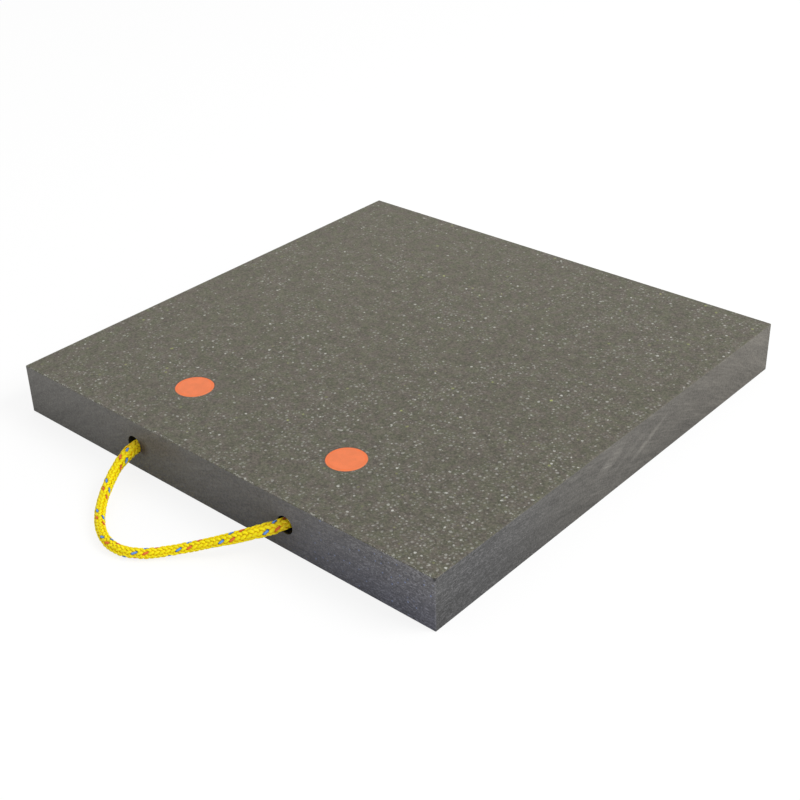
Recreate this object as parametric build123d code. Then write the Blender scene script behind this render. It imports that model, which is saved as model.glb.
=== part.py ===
from build123d import *
import math
import os

# Outrigger support plate: a square slab of recycled plastic that spreads the load of a
# crane's outrigger foot, with a rope handle let into one edge. Each end of the rope runs
# through a bore in that edge to a round pocket, where it is knotted. A flush coloured plug
# closes each pocket from above.
#
# Millimetres. +Z is up, the origin is the middle of the underside, and the rope handle
# comes out of the edge that faces -Y.

# Slab
plate_side = 500.0
plate_thickness = 50.0
edge_break = 0.6

# Rope handle
rope_diameter = 10.0
bore_clearance = 3.5
handle_spacing = 188.0
pocket_setback = 74.0

# Stopper knot: wraps of rope side by side round the rope's own end
knot_wraps = 2
wrap_radius = 0.75 * rope_diameter
wrap_pitch = 0.95 * rope_diameter
wrap_groove_width = 2.0
wrap_groove_depth = 2.5
knot_neck = 12.5
knot_tail = 4.0

# Knot pocket and plug
knot_seat_gap = 0.3
shoulder_width = 2.0
plug_flange = 5.0
plug_crown = 3.0
plug_skirt = 4.0
plug_wall = 2.0
plug_fit = 0.05
plug_edge_bevel = 0.4

# The handle's middle line from knot to knot, as it lies: level in the left bore, out of
# the edge and down, along the ground in a rounded loop, and up into the right bore.
rope_route = [
    (-94.0, -198.0, 25.0),
    (-94.0, -222.0, 25.0),
    (-92.5, -247.0, 24.0),
    (-90.5, -264.0, 21.5),
    (-86.5, -278.5, 17.0),
    (-79.5, -293.0, 12.0),
    (-69.0, -308.5, 8.0),
    (-54.5, -323.5, 5.6),
    (-37.5, -335.0, 5.1),
    (-19.5, -341.5, 5.1),
    (-2.0, -340.5, 5.1),
    (14.0, -331.0, 5.1),
    (28.0, -316.5, 6.5),
    (44.0, -301.0, 10.5),
    (62.0, -285.5, 16.0),
    (78.5, -270.0, 21.5),
    (93.0, -250.0, 25.0),
    (94.0, -222.0, 25.0),
    (94.0, -198.0, 25.0),
]
bend_share = 0.45

# Sizes that follow
rope_radius = rope_diameter / 2
bore_diameter = rope_diameter + 2 * bore_clearance
bore_height = plate_thickness / 2
handle_edge_y = -plate_side / 2
pocket_y = handle_edge_y + pocket_setback
knot_radius = wrap_radius + rope_radius
knot_half_length = knot_wraps * wrap_pitch / 2
pocket_radius = math.hypot(knot_radius, knot_half_length) + knot_seat_gap
pocket_floor_z = bore_height - knot_radius - knot_seat_gap
shoulder_z = plate_thickness - plug_flange
plug_seat_radius = pocket_radius + shoulder_width
pocket_places = {"left": -handle_spacing / 2, "right": handle_spacing / 2}


def upright_bore(x, y, radius, floor_z, mouth_z):
    """A solid cylinder that stands on floor_z and ends at mouth_z, to be cut away."""
    return Pos(x, y, floor_z) * extrude(Circle(radius), mouth_z - floor_z)


def edge_bore(x, radius):
    """The rope's bore, level, from outside the handle edge to the pocket's middle."""
    mouth = Plane(origin=(x, handle_edge_y, bore_height), z_dir=(0, 1, 0))
    return extrude(mouth * Circle(radius), pocket_setback)


def make_plate():
    """The slab with its edges broken, two stepped pockets and the bores that lead to them."""
    slab = extrude(Rectangle(plate_side, plate_side), plate_thickness)
    slab = chamfer(slab.edges(), edge_break)
    for x in pocket_places.values():
        slab -= upright_bore(x, pocket_y, pocket_radius, pocket_floor_z, plate_thickness)
        slab -= upright_bore(x, pocket_y, plug_seat_radius, shoulder_z, plate_thickness)
        slab -= edge_bore(x, bore_diameter / 2)
    return slab


def make_plug(x):
    """A moulded cap: its flange sits on the pocket's shoulder, its skirt reaches inside."""
    flange_radius = plug_seat_radius - plug_fit
    skirt_radius = pocket_radius - plug_fit
    skirt_z = -plug_flange - plug_skirt
    outline = Polyline(
        (0, 0),
        (flange_radius, 0),
        (flange_radius, -plug_flange),
        (skirt_radius, -plug_flange),
        (skirt_radius, skirt_z),
        (skirt_radius - plug_wall, skirt_z),
        (skirt_radius - plug_wall, -plug_crown),
        (0, -plug_crown),
        close=True,
    )
    cap = revolve(Plane.XZ * make_face(outline), Axis.Z)
    rim = cap.edges().filter_by(GeomType.CIRCLE).group_by(Axis.Z)[-1]
    cap = chamfer(rim, plug_edge_bevel)
    return Pos(x, pocket_y, plate_thickness) * cap


def make_knot(x):
    """The stopper knot's outer form: wraps side by side, a plain neck and a short tail."""
    wraps_start = -knot_half_length
    wraps = Pos(0, 0, wraps_start) * extrude(Circle(knot_radius), 2 * knot_half_length)
    neck_start = wraps_start - knot_neck
    rope_through = knot_neck + 2 * knot_half_length + knot_tail
    knot = wraps + Pos(0, 0, neck_start) * extrude(Circle(rope_radius), rope_through)
    ring = Circle(knot_radius) - Circle(knot_radius - wrap_groove_depth)
    for wrap in range(1, knot_wraps):
        groove_start = wraps_start + wrap * wrap_pitch - wrap_groove_width / 2
        knot -= Pos(0, 0, groove_start) * extrude(ring, wrap_groove_width)
    along_bore = Plane(origin=(x, pocket_y, bore_height), z_dir=(0, 1, 0))
    return along_bore.location * knot


def bend_radii(route):
    """One radius for each corner, as large as the shorter of its two runs allows."""
    points = [Vector(*point) for point in route]
    radii = []
    for before, corner, after in zip(points, points[1:], points[2:]):
        run_in = corner - before
        run_out = after - corner
        turn = math.radians(run_in.get_angle(run_out))
        shorter = min(run_in.length, run_out.length)
        radii.append(bend_share * shorter / math.tan(turn / 2))
    return radii


def make_rope():
    """The handle's rope: one round tube along straight runs joined by tangent arcs."""
    radii = bend_radii(rope_route)
    print("rope bend radii, mm:", [round(radius) for radius in radii])
    path = FilletPolyline(*rope_route, radius=radii)
    start = Plane(origin=path @ 0, z_dir=path % 0)
    rope = sweep(start * Circle(rope_radius), path=path)
    section = math.pi * rope_radius**2
    print("rope length, mm:", round(path.length, 1))
    print("rope volume over section times length:", round(rope.volume / (section * path.length), 4))
    return rope


def main():
    pieces = {"plate": make_plate(), "rope_handle": make_rope()}
    for side, x in pocket_places.items():
        pieces["plug_" + side] = make_plug(x)
        pieces["rope_knot_" + side] = make_knot(x)
    os.makedirs("parts", exist_ok=True)
    for node, solid in pieces.items():
        export_step(solid, "parts/" + node + ".step")


main()
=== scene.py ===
import math

import bpy
from bpy.props import FloatProperty, FloatVectorProperty, IntProperty, PointerProperty
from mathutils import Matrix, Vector, noise


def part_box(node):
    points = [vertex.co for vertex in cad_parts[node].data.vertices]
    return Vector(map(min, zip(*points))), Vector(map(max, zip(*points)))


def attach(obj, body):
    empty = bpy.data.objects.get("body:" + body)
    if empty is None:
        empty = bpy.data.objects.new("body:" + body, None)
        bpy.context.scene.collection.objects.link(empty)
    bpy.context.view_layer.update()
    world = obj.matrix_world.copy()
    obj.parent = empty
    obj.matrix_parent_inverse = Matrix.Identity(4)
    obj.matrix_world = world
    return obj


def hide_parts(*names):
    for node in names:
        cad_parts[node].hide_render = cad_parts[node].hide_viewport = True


bl_info = {
    "name": "Outrigger support plate",
    "version": (1, 0, 0),
    "blender": (4, 5, 0),
    "location": "View3D > Sidebar > Plate",
    "description": "Dresses a recycled plastic outrigger plate and braids its rope handle",
    "category": "Object",
}

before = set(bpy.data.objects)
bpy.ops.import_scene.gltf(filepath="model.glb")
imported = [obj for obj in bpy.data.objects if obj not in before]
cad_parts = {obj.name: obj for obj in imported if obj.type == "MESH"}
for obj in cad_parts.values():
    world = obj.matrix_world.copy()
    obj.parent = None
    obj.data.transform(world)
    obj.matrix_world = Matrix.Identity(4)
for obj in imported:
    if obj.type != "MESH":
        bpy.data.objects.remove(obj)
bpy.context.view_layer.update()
plate_low, plate_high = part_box("plate")
plate_half = (plate_high.x - plate_low.x) / 2
plate_top = plate_high.z

# Everything below is in metres, unless it says otherwise.

# The handle's middle line from knot to knot, as in the part's own source.
rope_route = [
    (-0.0940, -0.1980, 0.0250), (-0.0940, -0.2220, 0.0250), (-0.0925, -0.2470, 0.0240),
    (-0.0905, -0.2640, 0.0215), (-0.0865, -0.2785, 0.0170), (-0.0795, -0.2930, 0.0120),
    (-0.0690, -0.3085, 0.0080), (-0.0545, -0.3235, 0.0056), (-0.0375, -0.3350, 0.0051),
    (-0.0195, -0.3415, 0.0051), (-0.0020, -0.3405, 0.0051), (0.0140, -0.3310, 0.0051),
    (0.0280, -0.3165, 0.0065), (0.0440, -0.3010, 0.0105), (0.0620, -0.2855, 0.0160),
    (0.0785, -0.2700, 0.0215), (0.0930, -0.2500, 0.0250), (0.0940, -0.2220, 0.0250),
    (0.0940, -0.1980, 0.0250),
]
line_resolution = 24

# The rope's thickness along its way, as a share of its nominal size: it swells at the bores,
# where the braid is pushed together, and is drawn thinner round the loop.
rope_swell = [
    (0.00, 1.06), (0.12, 1.12), (0.165, 1.17), (0.22, 0.97), (0.30, 0.93), (0.50, 0.91),
    (0.62, 0.88), (0.70, 0.90), (0.77, 1.04), (0.83, 1.13), (0.88, 1.04), (1.00, 1.02),
]

# How a strand lies in the braid: how sharply it goes from under to over, and, as shares of its
# own size, how deep its middle lies, how far it lifts, its width and the depth of the core.
over_sharpness = 1.7
ring_depth = 1.05
over_lift = 0.60
strand_spread = 0.91
over_narrowing = 0.10
core_depth = 0.65

# Noise makes the strands uneven: how far it lifts and turns them, the turn in radians, how
# fine it is along the rope, and where in it each strand lies.
uneven_lift = 0.20
uneven_turn = 0.04
uneven_per_metre = 90
uneven_strand_gap = 3.7
uneven_layer = 1.3

# A swollen rope is more uneven: by this much where it is thicker by the swell that follows.
ruffle_gain = 2.2
ruffle_swell = 0.15

# The yarn that each tracer strand is made of, and how full each yarn is. The rest are yarn 0.
tracer_yarns = {0: 1, 2: 2}
yarn_fullness = (1.0, 0.80, 0.74)

# The strands' UV maps: their marks count so many in a metre, and each strand starts further on.
marks_per_metre = 100
strand_mark_gap = 3.1

# Each yarn: its name, the setting with its colour, the shares of the colour in its painted
# shade in grooves, how light that shade stays, and how far it turns golden near the bores.
yarns = (
    ("Yellow yarn", "yellow", (0.82, 0.58, 1.0), 0.35, 0.65),
    ("Blue yarn", "blue", (0.15, 0.12, 0.20), 0.0, 0.0),
    ("Red yarn", "red", (0.50, 0.45, 0.50), 0.0, 0.0),
)
golden_yarn = (1.0, 0.62, 0.03)
golden_from_y = -0.275
golden_full_y = -0.245

# A yarn's fine filaments and its broader changes of tone: how many run along each mark of a
# strand and round it. The painted shade in grooves lifts where a strand lies over others.
filaments = (0.6, 16)
broad_tones = (0.25, 3)
groove_lift = (0.35, 1.2)
groove_fill = 1.15
filament_height = 0.0003

# The stopper knots: the rope's radius where it is pulled tight, the control points of the
# straight neck, counted from its start, and the wraps that go back round it.
knot_rope_radius = 0.0042
knot_neck = (0.0, 0.012, 0.022)
knot_turns = 2
knot_turn_points = 12
knot_opening_points = 4
knot_wound_length = 0.0095

# The camera that fits the slab's corners in the photograph, with its angles in degrees.
camera_place = (0.75514, -0.84714, 0.67178)
camera_angles = (60.397, 2.274, 42.468)
camera_shift = (0.0519, -0.0419)
camera_clip = (0.05, 50.0)
sensor_width_mm = 36.0

# The studio. The camera sees the floor mostly as plain white, and its shadow as a faint one.
lamp_place = (2.6, 1.2, 2.6)
lamp_side = 2.0
floor_radius = 12.0
floor_corners = 60
floor_paper = (0.95, 0.95, 0.95)
floor_glow = 1.04
floor_glow_share = 0.8
white = (1.0, 1.0, 1.0)

# Noise keeps to the middle of its range, and this part of it is stretched to reach 0 and 1.
noise_range = (0.28, 0.72)

# How far a face's normal points up where it is planed or sawn, and along Y where it is on an
# edge that faces -Y or +Y: where each mask begins to change, and where it has changed.
planed_upward = (0.85, 0.95)
sawn_upward = (0.2, 0.4)
fore_along = (0.5, 0.6)

# The pale specks, coarse to fine. Each layer has its spacing as a share of the setting, how
# many of its cells can hold a speck, the largest radius, and the dullest and brightest speck.
# Few of them are warm, and the underside's lie elsewhere in the pattern than the top's.
speck_layers = (
    (2.6, 0.28, 0.00125, 0.35, 0.90),
    (1.45, 0.46, 0.00130, 0.15, 0.42),
    (0.95, 0.46, 0.00110, 0.08, 0.22),
)
speck_softness = 0.0004
underside_offset = 3
warm_speck_share = 0.014
warm_speck = (0.50, 0.55, 0.16)

# Where the middle of the saw's arcs lies: along the right edge, along the handle edge, and how
# far below the ground.
saw_right_y = -0.22
saw_front_x = 0.25
saw_depth = 0.72

# Soft patches on the sawn edges: their middle along the edge and its height, their tilt in
# radians, half their length, half their width, and their strength.
brushed_streaks = (
    (0.036, 0.026, 0.38, 0.034, 0.0034, 0.8),
    (-0.022, 0.033, 0.3, 0.022, 0.007, 0.75),
    (0.012, 0.030, 0.36, 0.030, 0.0035, 0.4),
)
# Dark brown patches on the handle edge, just to the right of the left bore.
bore_dark_patch = (
    (-0.0815, 0.027, 0.2, 0.008, 0.010, 0.55),
    (-0.0845, 0.026, 0.2, 0.0055, 0.007, 1.0),
)
rubbed_patch = ((-0.062, 0.038, 0.1, 0.04, 0.014, 0.4),)

# A few blue chips in the handle edge, on the right of it.
blue_chip = (0.20, 0.25, 0.42)
blue_chip_spacing = 0.008
blue_chip_radius = 0.0009
blue_chip_softness = 0.0004
blue_chip_share = 0.45
blue_chip_from_x = 0.08
blue_chip_full_x = 0.16

# Marks near the slab's edges: how far from the edge each begins, and where it is full.
corner_wear = (0.0009, 0.0003)
burr_band = (0.0022, 0.0008)
inner_wall = (0.0012, 0.0006)
inner_ceiling = (0.0012, 0.0004)
inner_floor = (0.0001, 0.0006)
# Painted shade: the colour of the walls inside the bores and pockets.
bore_painted_shade = (0.012, 0.012, 0.012)
nick_drop = 0.001
nick_reach = 0.003
# Painted shade in the nick's dent.
nick_painted_shade = (0.02, 0.02, 0.02)

# The moulded ring on each plug's face, as shares of the plug's radius: where it rises, is
# full, starts to fall and has gone.
plug_ring = (0.80, 0.88, 0.90, 0.97)


def rgba(colour, shares=(1.0, 1.0, 1.0)):
    """A colour for a socket, each of its three parts times a share."""
    return (*(part * share for part, share in zip(colour, shares)), 1.0)


def short_of(limit, distances):
    """Places that lie these distances before a limit."""
    return [limit - distance for distance in distances]


# Shading: sums of sockets, and one way to add a node

class Number:
    """A socket's number, for use in sums: 1 - mask adds the Math node that works it out."""

    def __init__(self, shading, socket):
        self.shading = shading
        self.socket = socket

    def _sum(self, operation, *values):
        return self.shading.add("Math", {"operation": operation}, dict(enumerate(values)))

    def __add__(self, other):
        return self._sum("ADD", self, other)

    def __sub__(self, other):
        return self._sum("SUBTRACT", self, other)

    def __mul__(self, other):
        return self._sum("MULTIPLY", self, other)

    def __truediv__(self, other):
        return self._sum("DIVIDE", self, other)

    def __pow__(self, other):
        return self._sum("POWER", self, other)

    def __rsub__(self, other):
        return self._sum("SUBTRACT", other, self)

    __radd__ = __add__
    __rmul__ = __mul__

    def __abs__(self):
        return self._sum("ABSOLUTE", self)

    def most(self, other):
        return self._sum("MAXIMUM", self, other)

    def least(self, other):
        return self._sum("MINIMUM", self, other)

    def above(self, other):
        return self._sum("GREATER_THAN", self, other)

    def ramp(self, low, high):
        """0 up to low, 1 from high on, and a smooth rise between them."""
        settings = {"interpolation_type": "SMOOTHSTEP"}
        sockets = {"Value": self, "From Min": low, "From Max": high}
        return self.shading.add("MapRange", settings, sockets)


class Shading:
    """A node tree that is being filled."""

    def __init__(self, owner):
        owner.use_nodes = True
        self.tree = owner.node_tree
        self.tree.nodes.clear()

    def add(self, kind, settings=None, sockets=None, take=0):
        """Adds a node: first its settings, then its sockets' values or links. Gives an output."""
        node = self.tree.nodes.new("ShaderNode" + kind)
        for name, value in (settings or {}).items():
            setattr(node, name, value)
        for name, value in (sockets or {}).items():
            if isinstance(value, Number):
                self.tree.links.new(value.socket, node.inputs[name])
            else:
                node.inputs[name].default_value = value
        return Number(self, node.outputs[take]) if node.outputs else node

    def point(self):
        """The place in the object's own frame, in metres."""
        return self.add("TexCoord", take="Object")

    def split(self, vector):
        """A vector's three numbers."""
        node = self.add("SeparateXYZ", None, {"Vector": vector}).socket.node
        return [Number(self, output) for output in node.outputs]

    def join(self, x, y, z):
        """A vector of three numbers."""
        return self.add("CombineXYZ", None, {"X": x, "Y": y, "Z": z})

    def noise(self, vector, size, detail=2.0, rough=0.5, swirl=0.0):
        """Noise from 0 to 1 whose lumps are about size metres across."""
        sockets = {"Vector": vector, "Scale": 1 / size, "Detail": detail, "Roughness": rough,
                   "Distortion": swirl}
        return self.add("TexNoise", None, sockets, "Fac").ramp(*noise_range)

    def chips(self, vector, spacing):
        """A chip in each flat cell: how far its middle is, in metres, and three random numbers."""
        sockets = {"Vector": vector, "Scale": 1 / spacing}
        cells = self.add("TexVoronoi", {"voronoi_dimensions": "2D"}, sockets, "Distance")
        colour = Number(self, cells.socket.node.outputs["Color"])
        return [cells * spacing, *self.split(colour)]

    def mix(self, share, first, second):
        """A colour between two, at share."""
        factor_socket, first_socket, second_socket, colour_output = 0, 6, 7, 2
        sockets = {factor_socket: share, first_socket: first, second_socket: second}
        return self.add("Mix", {"data_type": "RGBA"}, sockets, colour_output)

    def shade(self, colour, brightness):
        """A colour times a number."""
        sockets = {0: colour, "Scale": brightness}
        return self.add("VectorMath", {"operation": "SCALE"}, sockets)

    def bump(self, height, distance, strength):
        """The normal of a surface with this height, in shares of distance."""
        sockets = {"Height": height, "Distance": distance, "Strength": strength}
        return self.add("Bump", None, sockets)

    def surface(self, sockets):
        """Ends the tree in a principled surface with these sockets."""
        shader = self.add("BsdfPrincipled", None, sockets)
        self.add("OutputMaterial", None, {"Surface": shader})


def dress(node, material):
    """Gives a solid of the CAD model this material in place of its own."""
    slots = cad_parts[node].data.materials
    slots.clear()
    slots.append(material)


# Braiding

def drawn_line(points):
    """The points of a smooth spline with these control points."""
    curve = bpy.data.curves.new("rope_line", "CURVE")
    curve.dimensions = "3D"
    curve.resolution_u = line_resolution
    spline = curve.splines.new("NURBS")
    spline.points.add(len(points) - 1)
    for place, point in zip(spline.points, points):
        place.co = (*point, 1.0)
    spline.order_u = 3
    spline.use_endpoint_u = True
    holder = bpy.data.objects.new("rope_line", curve)
    mesh = bpy.data.meshes.new_from_object(holder)
    line = [vertex.co.copy() for vertex in mesh.vertices]
    bpy.data.objects.remove(holder)
    bpy.data.curves.remove(curve)
    bpy.data.meshes.remove(mesh)
    return line


def even_stations(line, step):
    """Places an even step apart along a line, each with how far on it is and two ways across."""
    lengths = [0.0]
    for before, after in zip(line, line[1:]):
        lengths.append(lengths[-1] + (after - before).length)
    count = max(2, round(lengths[-1] / step))
    shortest = 1e-9
    places, run = [], 0
    for index in range(count + 1):
        reach = lengths[-1] * index / count
        while run < len(line) - 2 and lengths[run + 1] < reach:
            run += 1
        share = (reach - lengths[run]) / max(lengths[run + 1] - lengths[run], shortest)
        places.append(line[run].lerp(line[run + 1], min(share, 1.0)))
    across = None
    stations = []
    for index, place in enumerate(places):
        ahead = places[min(index + 1, count)] - places[max(index - 1, 0)]
        ahead.normalize()
        if across is None:
            across = ahead.cross(Vector((0, 0, 1))).normalized()
        across = (across - ahead * across.dot(ahead)).normalized()
        stations.append((lengths[-1] * index / count, place, across.copy(), ahead.cross(across)))
    return stations


class Tubes:
    """Closed tubes that are gathered into one mesh, each painted with one of its materials.

    A tube is a list of rings. A ring has its mark along the tube and its lift, from 0 to 1,
    which go into the UV maps that the yarns read, and its corners.
    """

    def __init__(self, sides):
        self.sides = sides
        self.corners, self.faces, self.paints = [], [], []
        self.marks, self.lifts = [], []

    def add(self, rings, paint):
        """Adds the tube that these rings make, closed at both ends."""
        base, sides = len(self.corners), self.sides
        for _, _, corners in rings:
            self.corners.extend(corners)
        for row, (near, far) in enumerate(zip(rings, rings[1:])):
            low, high = base + row * sides, base + (row + 1) * sides
            for side in range(sides):
                after = (side + 1) % sides
                one, two = side / sides, (side + 1) / sides
                self.faces.append((low + side, low + after, high + after, high + side))
                self.marks.extend(((near[0], one), (near[0], two), (far[0], two), (far[0], one)))
                self.lifts.extend(((near[1], 0), (near[1], 0), (far[1], 0), (far[1], 0)))
                self.paints.append(paint)
        for row, order in ((0, range(sides - 1, -1, -1)), (len(rings) - 1, range(sides))):
            mark, lift, _ = rings[row]
            self.faces.append(tuple(base + row * sides + side for side in order))
            self.marks.extend((mark, side / sides) for side in order)
            self.lifts.extend((lift, 0) for side in order)
            self.paints.append(paint)

    def piece(self, name, materials):
        """The object that the tubes make."""
        mesh = bpy.data.meshes.new(name)
        mesh.from_pydata(self.corners, [], self.faces)
        for layer_name, pairs in (("strand", self.marks), ("lift", self.lifts)):
            layer = mesh.uv_layers.new(name=layer_name)
            layer.data.foreach_set("uv", [number for pair in pairs for number in pair])
        mesh.polygons.foreach_set("material_index", self.paints)
        mesh.polygons.foreach_set("use_smooth", [True] * len(self.faces))
        for material in materials:
            mesh.materials.append(material)
        mesh.update()
        piece = bpy.data.objects.new(name, mesh)
        bpy.context.scene.collection.objects.link(piece)
        return piece


def strand_course(strand, fullness, stations, settings, thickness):
    """One strand's middles, and for each how far on it is, the rope's radius there, how far the
    strand lies over the others, from -1 to 1, and the way out of the rope.
    """
    each_way = settings.carriers // 2
    columns = each_way // 2
    apart = 2 * math.pi / each_way
    way, lead = -1, settings.tracer_turn
    if strand >= each_way:
        way, lead = 1, 2 * settings.column_turn + apart / 2 - settings.tracer_turn
    total = stations[-1][0]
    middles, frames = [], []
    for reach, place, across, up in stations:
        radius = thickness(reach / total)
        turn = lead + strand % each_way * apart + way * 2 * math.pi * reach / settings.pitch
        phase = columns * (turn - settings.column_turn)
        over = max(-1.0, min(1.0, over_sharpness * (math.cos(phase) * -way)))
        seed = Vector((strand * uneven_strand_gap, reach * uneven_per_metre, uneven_layer))
        wander = noise.noise(seed)
        swell = max(0.0, 2 * radius / settings.diameter - 1.0)
        ruffle = 1.0 + ruffle_gain * swell / ruffle_swell
        turn += way * settings.straightening / columns * math.sin(phase)
        turn += settings.twist * reach + uneven_turn * wander * ruffle
        lift = over_lift * over * fullness + uneven_lift * wander * ruffle
        from_middle = radius - settings.strand_thickness * ring_depth
        from_middle += settings.strand_thickness * lift
        out = across * math.cos(turn) + up * math.sin(turn)
        middles.append(place + out * from_middle)
        frames.append((reach, radius, over, out))
    return middles, frames


def strand_rings(strand, fullness, stations, settings, thickness):
    """One strand's flat oval sections along the rope."""
    sides = settings.strand_sides
    half_height = settings.strand_thickness / 2
    middles, frames = strand_course(strand, fullness, stations, settings, thickness)
    rings = []
    for index, (reach, radius, over, out) in enumerate(frames):
        ahead = middles[min(index + 1, len(middles) - 1)] - middles[max(index - 1, 0)]
        wide = ahead.cross(out).normalized()
        high = wide.cross(ahead).normalized()
        half_width = settings.strand_width / 2 * (radius / (settings.diameter / 2)) * fullness
        half_width *= strand_spread - over_narrowing * over
        corners = []
        for side in range(sides):
            angle = 2 * math.pi * side / sides - math.pi / 2
            corners.append(middles[index] + wide * (half_width * math.cos(angle))
                           + high * (half_height * math.sin(angle)))
        mark = reach * marks_per_metre + strand * strand_mark_gap
        rings.append((mark, 0.5 + 0.5 * over, corners))
    return rings


def core_rings(stations, settings, thickness):
    """The round core that fills the braid, just below its strands."""
    sides, total = settings.strand_sides, stations[-1][0]
    rings = []
    for reach, place, across, up in stations:
        radius = thickness(reach / total) - settings.strand_thickness * core_depth
        corners = []
        for side in range(sides):
            angle = 2 * math.pi * side / sides
            corners.append(place + (across * math.cos(angle) + up * math.sin(angle)) * radius)
        rings.append((reach * marks_per_metre, 0.0, corners))
    return rings


def braid(name, line, settings, thickness):
    """A hollow braid with a core, on a line. thickness gives the rope's radius at a share of it.

    Half the strands wind each way, and each goes over two and under two of the others. In
    every second column along the rope the strands of one way lie on top, so that the columns
    look like rows of arrowheads.
    """
    stations = even_stations(line, settings.step)
    tubes = Tubes(settings.strand_sides)
    for strand in range(settings.carriers):
        yarn = tracer_yarns.get(strand, 0)
        fullness = yarn_fullness[yarn]
        tubes.add(strand_rings(strand, fullness, stations, settings, thickness), yarn)
    tubes.add(core_rings(stations, settings, thickness), 0)
    return tubes.piece(name, yarn_materials(settings)), [place for _, place, _, _ in stations]


def yarn_materials(settings):
    """The three yarns, yellow, blue and red, with fine filaments and painted shade in grooves."""
    made = []
    for name, colour_setting, groove_shade, least, gold_near_bores in yarns:
        material = bpy.data.materials.get(name)
        if material is None:
            material = bpy.data.materials.new(name)
            colour = getattr(settings, colour_setting)
            shade_yarn(Shading(material), colour, groove_shade, least, gold_near_bores)
        made.append(material)
    return made


def shade_yarn(shading, colour, groove_shade, least, gold_near_bores):
    """Fills a yarn's material."""
    along, around, _ = shading.split(shading.add("UVMap", {"uv_map": "strand"}))
    lift, _, _ = shading.split(shading.add("UVMap", {"uv_map": "lift"}))
    lengthwise, crosswise = filaments
    fine = shading.noise(shading.join(along * lengthwise, around * crosswise, 0.0), 1.0, 3.0)
    lengthwise, crosswise = broad_tones
    broad = shading.noise(shading.join(along * lengthwise, around * crosswise, 2.0), 1.0)
    tone = 0.89 + fine * 0.2 + broad * 0.12
    # Painted shade: a strand has its full colour only on its crown where it lies over the others,
    # and darkens toward its sides and where it dives under them.
    beside = abs(around - 0.5) * 4
    crown_light = (1 - beside * beside).most(0.0) * lift.ramp(*groove_lift) * groove_fill
    tint = shading.mix(least + crown_light * (1 - least), rgba(colour, groove_shade), rgba(colour))
    if gold_near_bores:
        # The yellow turns golden toward the bores, as far as the last column of the yarns table
        # gives.
        _, y, _ = shading.split(shading.point())
        golden = y.ramp(golden_from_y, golden_full_y) * (0.4 + broad * 0.6) * gold_near_bores
        tint = shading.mix(golden, tint, rgba(golden_yarn))
    shading.surface({
        "Base Color": shading.shade(tint, tone),
        "Roughness": 0.42,
        "Specular IOR Level": 0.22,
        "Normal": shading.bump(fine, filament_height, 0.5),
    })


# The slab's plastic

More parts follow.
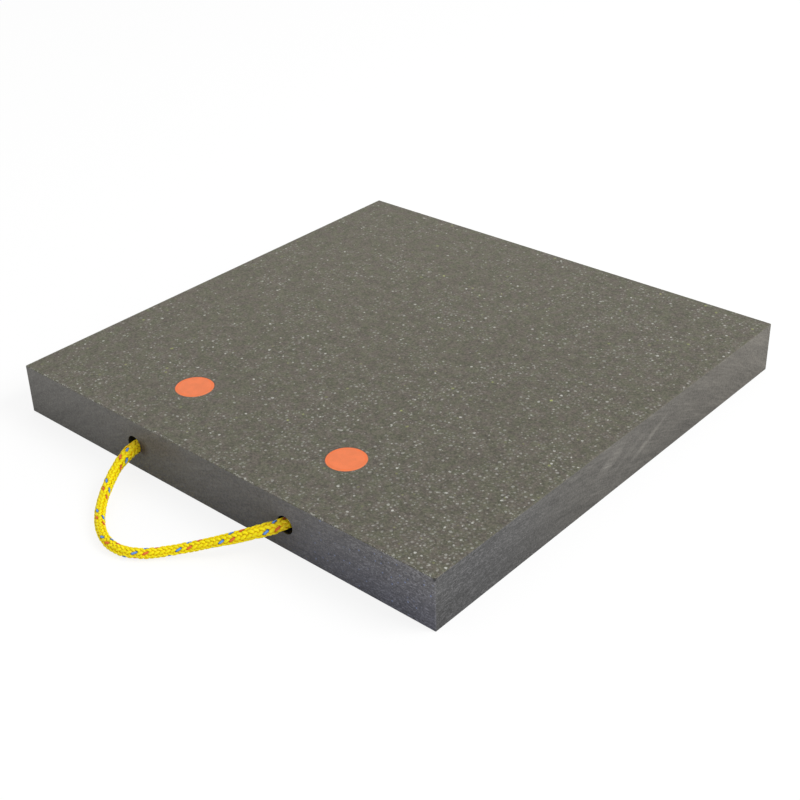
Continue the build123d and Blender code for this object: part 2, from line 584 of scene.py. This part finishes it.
class PlatePlastic(Shading):
    """Recycled plastic: planed and specked on top, sawn at the edges, marked by use, and with
    painted light and shade.
    """

    def __init__(self, material, settings):
        super().__init__(material)
        self.settings = settings
        self.place = self.point()
        self.x, self.y, self.z = self.split(self.place)
        normal = self.add("NewGeometry", take="True Normal")
        self.across, self.along, self.upward = self.split(normal)

        # Masks: 1 on the planed faces, on the sawn ones, and on those that face -Y or +Y.
        self.top = abs(self.upward).ramp(*planed_upward)
        self.side = 1 - abs(self.upward).ramp(*sawn_upward)
        self.fore = abs(self.along).ramp(*fore_along)
        self.handle_side = self.fore * (0 - self.along).above(0.0)

        # The place along an edge: x on the edges that face -Y or +Y, and y on the others.
        self.edgewise = self.y + (self.x - self.y) * self.fore
        right, front = self.x - plate_half, self.y + plate_half
        self.to_corner = (right * right + front * front) ** 0.5

        self.blotch = self.noise(self.place, 0.013, 3.0, 0.65)
        self.mottle = self.noise(self.place, 0.0026, 2.0, 0.6)
        self.grain = self.noise(self.place, 0.0013, 1.0, 0.5)

    def specks(self):
        """The pale specks, which crowd to the right and the near corner, and the warm ones."""
        drift = self.noise(self.place, 0.05, 2.0, 0.6)
        crowd = (0.46 + 0.40 * (self.x - self.y * 0.7).ramp(-0.35, 0.35)
                 + (self.blotch - 0.5) + (drift - 0.5) * 1.1
                 + 0.4 * (1 - self.to_corner.ramp(0.0, 0.25)))
        flat = self.join(self.x + self.upward * underside_offset, self.y, 0.0)
        specks, warm = 0.0, 0.0
        for spread, share, radius, dull, bright in speck_layers:
            away, one, two, three = self.chips(flat, self.settings.speck_spacing * spread)
            size = one.above(1 - share * crowd) * (0.5 + three * 0.5) * radius
            away = away * (0.5 + 0.9 * self.mottle)
            mask = ((size - away) / speck_softness).most(0.0).least(1.0)
            specks = (mask * (dull + two * (bright - dull))).most(specks)
            warm = (three.above(1 - warm_speck_share) * mask).most(warm)
        return specks, warm

    def planed(self, specks, warm):
        """The colour of the planed faces."""
        ground = self.settings.ground
        tint = self.noise(self.place, 0.008, 2.0, 0.5)
        base = self.mix(tint, rgba(ground, (0.95, 1.02, 0.92)), rgba(ground, (1.06, 0.99, 1.09)))
        # Painted light: the last two terms make the planed faces brighter toward the back and the
        # left.
        base = self.shade(base, 0.59 + self.blotch * 0.18 + self.mottle * 0.46
                          + self.grain * 0.22
                          + (self.y - self.x * 0.3).ramp(-0.3, 0.3) * 0.08
                          - self.x.ramp(-0.25, 0.25) * 0.11)
        pale = self.mix(warm, rgba(self.settings.speck), rgba(warm_speck))
        return self.mix(specks, base, pale)

    def arc(self):
        """How far the middle of the saw's arcs is."""
        middle = saw_right_y + self.fore * (saw_front_x - saw_right_y)
        return ((self.edgewise - middle) * (self.edgewise - middle)
                + (self.z + saw_depth) * (self.z + saw_depth)) ** 0.5

    def patches(self, table):
        """Long soft patches on the sawn edges, each 1 times its strength in its middle."""
        total = 0.0
        for middle, height, tilt, half_length, half_width, strength in table:
            right, up = self.edgewise - middle, self.z - height
            run = (right * math.cos(tilt) + up * math.sin(tilt)) / half_length
            off = (up * math.cos(tilt) - right * math.sin(tilt)) / half_width
            total = (1 - run * run - off * off).most(0.0) * strength + total
        return total

    def sawn(self, arc, stroke):
        """The colour of the sawn edges."""
        fore, run, z = self.fore, self.edgewise, self.z
        colour = self.settings.sawn
        beside = 1 - fore
        near_corner = 1 - self.to_corner.ramp(0.02, 0.20)
        # Painted light: a bluish cast from the surroundings on the edges that face -Y or +Y,
        # growing toward +X and strongest low down.
        cool_light_cast = fore * run.ramp(-0.1, 0.22) * (1 - z.ramp(0.0, 0.06) * 0.6)
        sawn = self.mix(cool_light_cast, rgba(colour), rgba(colour, (0.84, 0.88, 1.16)))
        sawn = self.mix(beside * run.ramp(-0.24, 0.24), sawn, rgba(colour, (1.04, 1.0, 0.93)))
        # Painted light: the same bluish cast from the surroundings on the edges that face -X or
        # +X, near the corner at +X and -Y.
        sawn = self.mix(beside * near_corner, sawn, rgba(colour, (0.99, 1.02, 1.12)))
        # Dark brown patches beside the left bore, darkest next to it.
        dark_patch = self.patches(bore_dark_patch) * self.handle_side
        sawn = self.mix((dark_patch * 1.2).least(0.9), sawn, rgba(colour, (0.42, 0.30, 0.22)))
        rubbed = self.patches(rubbed_patch) * self.handle_side
        sawn = self.mix(rubbed, sawn, rgba(colour, (0.72, 0.60, 0.44)))
        return self.shade(sawn, self.sawn_tone(arc, stroke, near_corner))

    def sawn_tone(self, arc, stroke, near_corner):
        """How bright the sawn edges are: saw strokes, scuffs, nicks, streaks and painted light."""
        fore, run, z = self.fore, self.edgewise, self.z
        calm = 1 - fore * 0.6
        curl = self.noise(self.join(run * 0.35, arc, fore * 0.3), 0.0022, 2.0, 0.6, 1.6)
        broad = self.noise(self.join(run * 0.15, arc * 0.9, fore * 0.7), 0.009, 2.0, 0.5)
        scuff = self.noise(self.join(run * 0.14, arc, fore * 0.5), 0.0035, 2.0, 0.6)
        nicks = self.noise(self.join(run * 0.4, arc, 1.0), 0.0021, 1.0, 0.6, 2.0)
        # Painted light: fore * 0.09 here, with right_light and front_light below, makes the edges
        # that face -Y or +Y lighter than the others, and each edge lighter toward its top and
        # changing along it.
        tone = (0.50 + stroke * 0.30 * calm * (1 - near_corner) + curl * near_corner * 0.30
                + self.mottle * 0.22 + self.grain * 0.14 + broad * 0.24 * calm + fore * 0.09
                + scuff.ramp(0.70, 0.95) * 0.24 * calm
                + nicks.ramp(0.55, 0.90) * (0.12 + near_corner * 0.7) - near_corner * 0.12)
        right_light = (0.58 + run.ramp(-0.25, 0.0) * 0.30 + run.ramp(0.10, 0.25) * 0.24
                       + z.ramp(0.0, plate_top) * 0.26)
        front_light = (1.08 + (1 - run.ramp(-0.24, 0.0)) * 0.18
                       + z.ramp(0.0, plate_top) * 0.33)
        tone = tone * (right_light * (1 - fore) + front_light * fore)
        on_right = (1 - fore) * self.across.above(0.0)
        return tone + self.patches(brushed_streaks) * on_right * (0.42 + scuff * 0.7)

    def chipped(self, colour):
        """The colour with the blue chips in the handle edge."""
        away, one, two, _ = self.chips(self.join(self.x, self.z, 0.0), blue_chip_spacing)
        chip = ((blue_chip_radius - away) / blue_chip_softness).most(0.0).least(1.0)
        chip = chip * one.above(1 - blue_chip_share) * two * self.handle_side
        chip = chip * self.x.ramp(blue_chip_from_x, blue_chip_full_x)
        return self.mix(chip, colour, rgba(blue_chip))

    def worn_and_shaded(self, colour):
        """The colour with burrs, corner wear, and painted shade in the nick and inside the bores.
        """
        x, y, z = self.x, self.y, self.z
        speck = rgba(self.settings.speck)
        rim = (1 - self.side) * (1 - self.top)
        band = self.fore * rim + self.top * (0 - y).ramp(*short_of(plate_half, burr_band))
        burr = self.noise(self.place, 0.0017, 2.0, 0.6).ramp(0.62, 0.80)
        burr = burr * (0.35 + 0.65 * self.noise(self.place, 0.03, 1.0).ramp(0.3, 0.6))
        colour = self.mix(burr * band * (z / plate_top) * 0.55, colour, speck)

        corner = abs(x).least(abs(y)).ramp(*short_of(plate_half, corner_wear))
        colour = self.mix(self.side * corner * 0.05, colour, speck)

        # The nick at the top of the corner at +X and -Y, painted nearly black as the shade in its
        # dent.
        from_nick = (abs(x - plate_half) + abs(y + plate_half)
                     + abs(z - plate_top + nick_drop))
        nick = (1 - from_nick / nick_reach).most(0.0)
        colour = self.mix((nick * 2).least(0.8), colour, rgba(nick_painted_shade))

        # Painted shade: the walls inside the slab's outline, in its bores and pockets, made nearly
        # black.
        outline = abs(x).most(abs(y))
        inside = (1 - outline.ramp(*short_of(plate_half, inner_wall))) * (
            1 - z.ramp(*short_of(plate_top, inner_ceiling))) * z.ramp(*inner_floor)
        return self.mix(inside, colour, rgba(bore_painted_shade))

    def finish(self):
        """Ends the material."""
        arc = self.arc()
        stroke = self.noise(self.join(self.edgewise * 0.16, arc, self.fore * 0.3), 0.0022,
                            3.0, 0.65)
        specks, warm = self.specks()
        sawn = self.chipped(self.sawn(arc, stroke))
        colour = self.mix(self.side, self.planed(specks, warm), sawn)
        height = self.grain * 0.5 + self.mottle * 0.5 + stroke * self.side
        self.surface({
            "Base Color": self.worn_and_shaded(colour),
            "Roughness": 0.66 - specks * 0.12,
            "Specular IOR Level": 0.35,
            "Normal": self.bump(height, 0.00025, 0.5),
        })


# Settings that a user would change

class StageSettings(bpy.types.PropertyGroup):
    """The studio: camera, lamps and floor."""

    lens: FloatProperty(name="Lens", description="Focal length of the camera", default=61.54,
                        unit="CAMERA")
    sky: FloatProperty(name="Sky", description="Light from all round", default=0.62, min=0.0)
    key_power: FloatProperty(name="Key lamp", description="Power of the lamp on the right",
                             default=84.0, min=0.0, unit="POWER")


class RopeSettings(bpy.types.PropertyGroup):
    """The braided rope of the handle."""

    diameter: FloatProperty(name="Diameter", description="Nominal rope diameter",
                            default=0.010, unit="LENGTH")
    length: FloatProperty(name="Length", description="Rope from knot to knot",
                          default=0.380, unit="LENGTH")
    pitch: FloatProperty(name="Pitch", description="Length in which a strand goes once round",
                         default=0.03595, unit="LENGTH")
    tracer_turn: FloatProperty(name="Tracer turn", description="Where the blue strand starts",
                               default=math.radians(156.9), unit="ROTATION")
    column_turn: FloatProperty(name="Column turn", description="Where its columns lie",
                               default=math.radians(255.5), unit="ROTATION")
    twist: FloatProperty(name="Twist", description="Turn of the whole rope in each metre",
                         default=math.radians(270.0), unit="ROTATION")
    straightening: FloatProperty(name="Straightening",
                                 description="How far strands straighten where they lie on top",
                                 default=0.42, min=0.0, max=0.6)
    carriers: IntProperty(name="Strands", description="Strands of the braid, half each way",
                          default=16, min=8)
    strand_width: FloatProperty(name="Strand width", description="Width of one strand",
                                default=0.0033, unit="LENGTH")
    strand_thickness: FloatProperty(name="Strand thickness",
                                    description="Thickness of one strand",
                                    default=0.0015, unit="LENGTH")
    strand_sides: IntProperty(name="Strand sides", description="Corners of a strand's section",
                              default=10, min=5)
    step: FloatProperty(name="Step", description="Distance between sections along the rope",
                        default=0.0007, unit="LENGTH")
    yellow: FloatVectorProperty(name="Yellow", description="Colour of the plain strands",
                                default=(1.0, 0.86, 0.0), subtype="COLOR", size=3)
    blue: FloatVectorProperty(name="Blue", description="Colour of the first tracer strand",
                              default=(0.16, 0.40, 1.0), subtype="COLOR", size=3)
    red: FloatVectorProperty(name="Red", description="Colour of the second tracer strand",
                             default=(0.92, 0.19, 0.05), subtype="COLOR", size=3)


class PlateSettings(bpy.types.PropertyGroup):
    """The slab of recycled plastic."""

    ground: FloatVectorProperty(name="Plastic", description="Colour of the planed plastic",
                                default=(0.118, 0.110, 0.082), subtype="COLOR", size=3)
    sawn: FloatVectorProperty(name="Sawn edge", description="Colour of the sawn edges",
                              default=(0.106, 0.102, 0.094), subtype="COLOR", size=3)
    speck: FloatVectorProperty(name="Specks", description="Colour of the pale specks",
                               default=(0.60, 0.60, 0.55), subtype="COLOR", size=3)
    speck_spacing: FloatProperty(name="Speck spacing", description="Distance between specks",
                                 default=0.0036, unit="LENGTH")


class PlugSettings(bpy.types.PropertyGroup):
    """The two flush plugs."""

    orange: FloatVectorProperty(name="Orange", description="Colour of the plugs",
                                default=(0.88, 0.205, 0.062), subtype="COLOR", size=3)


# One operator for each piece

class BuildStage(bpy.types.Operator):
    """Set up the camera, the floor and soft studio light"""

    bl_idname = "outrigger.stage"
    bl_label = "Studio"

    def execute(self, context):
        scene = context.scene
        settings = scene.outrigger_stage
        self.place_camera(scene, settings)
        self.hang_lamp(scene, settings)
        self.lay_floor(scene)
        self.light_sky(scene, settings)
        scene.view_settings.view_transform = "Standard"
        return {"FINISHED"}

    def place_camera(self, scene, settings):
        lens = bpy.data.cameras.new("camera")
        lens.lens = settings.lens
        lens.sensor_width = sensor_width_mm
        lens.shift_x, lens.shift_y = camera_shift
        lens.clip_start, lens.clip_end = camera_clip
        camera = bpy.data.objects.new("camera", lens)
        camera.location = camera_place
        camera.rotation_euler = [math.radians(angle) for angle in camera_angles]
        scene.collection.objects.link(camera)
        scene.camera = camera

    def hang_lamp(self, scene, settings):
        key = bpy.data.lights.new("key_lamp", "AREA")
        key.energy = settings.key_power
        key.size = lamp_side
        lamp = bpy.data.objects.new("key_lamp", key)
        lamp.location = lamp_place
        lamp.rotation_euler = (-lamp.location).to_track_quat("-Z", "Y").to_euler()
        scene.collection.objects.link(lamp)

    def lay_floor(self, scene):
        mesh = bpy.data.meshes.new("floor")
        angles = [math.radians(360 / floor_corners * corner) for corner in range(floor_corners)]
        rim = [(floor_radius * math.cos(angle), floor_radius * math.sin(angle), 0.0)
               for angle in angles]
        mesh.from_pydata(rim, [], [tuple(range(floor_corners))])
        floor = bpy.data.objects.new("floor", mesh)
        scene.collection.objects.link(floor)
        material = bpy.data.materials.new("Studio floor")
        shading = Shading(material)
        seen = shading.add("LightPath", take="Is Camera Ray")
        back = shading.add("NewGeometry", take="Backfacing")
        paper = shading.add("BsdfDiffuse", None, {"Color": rgba(floor_paper)})
        glow = shading.add("Emission", None, {"Color": rgba(white), "Strength": floor_glow})
        clear = shading.add("BsdfTransparent")
        lit = shading.add("MixShader", None, {0: seen * floor_glow_share, 1: paper, 2: glow})
        whole = shading.add("MixShader", None, {0: back, 1: lit, 2: clear})
        shading.add("OutputMaterial", None, {"Surface": whole})
        mesh.materials.append(material)

    def light_sky(self, scene, settings):
        """A dimmer sky for the light than for what the camera, gloss and glass show."""
        scene.world = bpy.data.worlds.new("studio")
        sky = Shading(scene.world)
        rays = sky.add("LightPath").socket.node.outputs
        shown = Number(sky, rays["Is Camera Ray"])
        for ray in ("Is Glossy Ray", "Is Transmission Ray"):
            shown = shown.most(Number(sky, rays[ray]))
        strength = settings.sky + shown * (1 - settings.sky)
        glow = sky.add("Background", None, {"Color": rgba(white), "Strength": strength})
        sky.add("OutputWorld", None, {"Surface": glow})


class BuildRopeHandle(bpy.types.Operator):
    """Braid the handle's rope along its route"""

    bl_idname = "outrigger.rope_handle"
    bl_label = "Rope handle"

    def execute(self, context):
        settings = context.scene.outrigger_rope
        radius = settings.diameter / 2

        def thickness(share):
            for (near, low), (far, high) in zip(rope_swell, rope_swell[1:]):
                if share <= far:
                    ease = 0.5 - 0.5 * math.cos(math.pi * (share - near) / (far - near))
                    return radius * (low + (high - low) * ease)
            return radius * rope_swell[-1][1]

        line = drawn_line(rope_route)
        rope, path = braid("rope_handle_braid", line, settings, thickness)
        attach(rope, "root")
        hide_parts("rope_handle")
        build_knots(settings)
        return {"FINISHED"}


def knot_line(low, high):
    """A stopper knot's line: neck, straight through, and back in wraps round itself."""
    x, z = (low.x + high.x) / 2, (low.z + high.z) / 2
    wrap = (high.x - low.x) / 2 - knot_rope_radius
    last = high.y - knot_rope_radius
    points = [(x, low.y + distance, z) for distance in knot_neck]
    count = knot_turns * knot_turn_points
    for index in range(count + 1):
        angle = 2 * math.pi * index / knot_turn_points
        away = wrap * min(1.0, index / knot_opening_points)
        y = last - knot_wound_length * index / count
        points.append((x + away * math.cos(angle), y, z + away * math.sin(angle)))
    return points


def build_knots(settings):
    """Braids both stopper knots, which lie out of sight in their pockets."""
    made = []
    for side in ("left", "right"):
        node = "rope_knot_" + side
        line = drawn_line(knot_line(*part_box(node)))
        knot, _ = braid(node + "_braid", line, settings, lambda share: knot_rope_radius)
        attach(knot, "root")
        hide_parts(node)
        made.append(knot)
    return made


class BuildPlate(bpy.types.Operator):
    """Give the slab its recycled plastic"""

    bl_idname = "outrigger.plate"
    bl_label = "Plate"

    def execute(self, context):
        material = bpy.data.materials.new("Recycled plastic")
        PlatePlastic(material, context.scene.outrigger_plate).finish()
        dress("plate", material)
        return {"FINISHED"}


class BuildPlugs(bpy.types.Operator):
    """Give both plugs their moulded orange plastic"""

    bl_idname = "outrigger.plugs"
    bl_label = "Plugs"

    def execute(self, context):
        orange = context.scene.outrigger_plugs.orange
        material = bpy.data.materials.new("Orange moulded plastic")
        shading = Shading(material)
        place = shading.point()
        x, y, _ = shading.split(place)
        low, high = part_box("plug_right")
        away = abs(x) - (low.x + high.x) / 2
        beside = y - (low.y + high.y) / 2
        radius = (away * away + beside * beside) ** 0.5 / ((high.x - low.x) / 2)
        rise, full, fall, gone = plug_ring
        ring = radius.ramp(rise, full) * (1 - radius.ramp(fall, gone))
        fine = shading.noise(place, 0.0008, 2.0)
        broad = shading.noise(place, 0.008, 2.0)
        colour = shading.mix(ring * (0.3 + broad * 0.7), rgba(orange),
                             rgba(orange, (1.02, 0.84, 0.6)))
        shading.surface({
            "Base Color": shading.shade(colour, 0.93 + broad * 0.09 + fine * 0.05),
            "Roughness": 0.45,
            "Specular IOR Level": 0.4,
            "Normal": shading.bump(fine - ring * 0.6, 0.0001, 0.4),
        })
        for side in ("left", "right"):
            dress("plug_" + side, material)
        return {"FINISHED"}


class OutriggerPanel(bpy.types.Panel):
    """The plate's pieces and their settings"""

    bl_label = "Outrigger plate"
    bl_idname = "VIEW3D_PT_outrigger_plate"
    bl_space_type = "VIEW_3D"
    bl_region_type = "UI"
    bl_category = "Plate"

    def draw(self, context):
        for group, operator in panel_rows:
            box = self.layout.box()
            box.operator(operator.bl_idname)
            settings = getattr(context.scene, group)
            for name in type(settings).__annotations__:
                box.prop(settings, name)


setting_groups = {
    "outrigger_stage": StageSettings,
    "outrigger_rope": RopeSettings,
    "outrigger_plate": PlateSettings,
    "outrigger_plugs": PlugSettings,
}
panel_rows = (
    ("outrigger_stage", BuildStage),
    ("outrigger_rope", BuildRopeHandle),
    ("outrigger_plate", BuildPlate),
    ("outrigger_plugs", BuildPlugs),
)


def register():
    for kind in (*setting_groups.values(), *(row[1] for row in panel_rows), OutriggerPanel):
        bpy.utils.register_class(kind)
    for name, kind in setting_groups.items():
        setattr(bpy.types.Scene, name, PointerProperty(type=kind))


def unregister():
    for name in setting_groups:
        delattr(bpy.types.Scene, name)
    for kind in (OutriggerPanel, *(row[1] for row in panel_rows), *setting_groups.values()):
        bpy.utils.unregister_class(kind)


def main():
    register()
    bpy.ops.outrigger.stage()
    bpy.ops.outrigger.rope_handle()
    bpy.ops.outrigger.plate()
    bpy.ops.outrigger.plugs()


if __name__ == "__main__":
    main()
